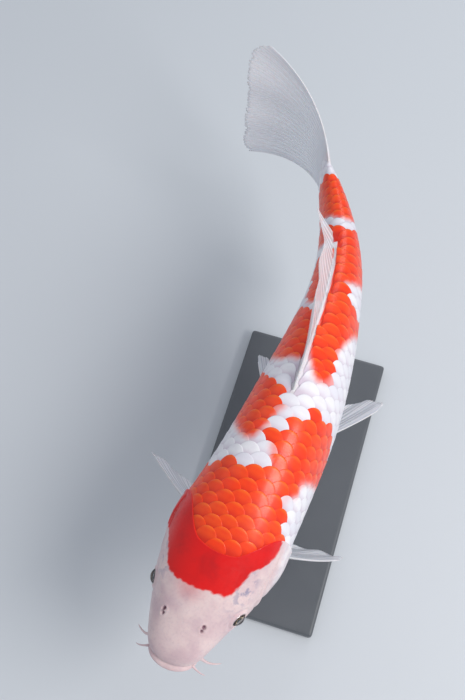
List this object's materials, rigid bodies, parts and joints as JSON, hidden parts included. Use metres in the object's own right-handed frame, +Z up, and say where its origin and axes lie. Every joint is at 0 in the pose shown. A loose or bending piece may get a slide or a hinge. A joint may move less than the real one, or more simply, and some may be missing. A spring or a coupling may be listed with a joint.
{
  "type": "koi carp",
  "caption": "Life-size still model of a Kohaku koi carp, white with red patches, swimming in a gentle bend, held by a plain display stand.",
  "frame": {"origin": "on the floor under the middle of the whole object's box", "axes": "-Y towards the snout, +Y towards the tail, +X the fish's left, +Z up"},
  "size_m": [0.2186, 0.5458, 0.2817],
  "materials": {
    "skin": "wet fish skin and scales, white with red and orange patches",
    "fins": "thin translucent white fin, ribbed by its rays",
    "eyes": "wet, dark, with a thin pale ring",
    "stand_base": "board with satin pale-grey paint",
    "stand_rods": "fine brushed"
  },
  "bodies": {
    "root": {"head": "skin", "upper_lip": "skin", "lower_lip": "skin", "barbel_left": "skin", "barbel_right": "skin", "small_barbel_left": "skin", "small_barbel_right": "skin", "gill_cover_left": "skin", "gill_cover_right": "skin", "trunk_front": "skin", "trunk_rear": "skin", "tail_stem": "skin", "dorsal_fin": "fins", "anal_fin": "fins", "pectoral_fin_left": "fins", "pectoral_fin_right": "fins", "pelvic_fin_left": "fins", "pelvic_fin_right": "fins", "caudal_fin_upper": "fins", "caudal_fin_lower": "fins", "eye_left": "eyes", "eye_right": "eyes", "stand_base": "stand_base", "stand_rod_front": "stand_rods", "stand_rod_rear": "stand_rods", "stand_cup_front": "stand_rods", "stand_cup_rear": "stand_rods"}
  },
  "joints": []
}
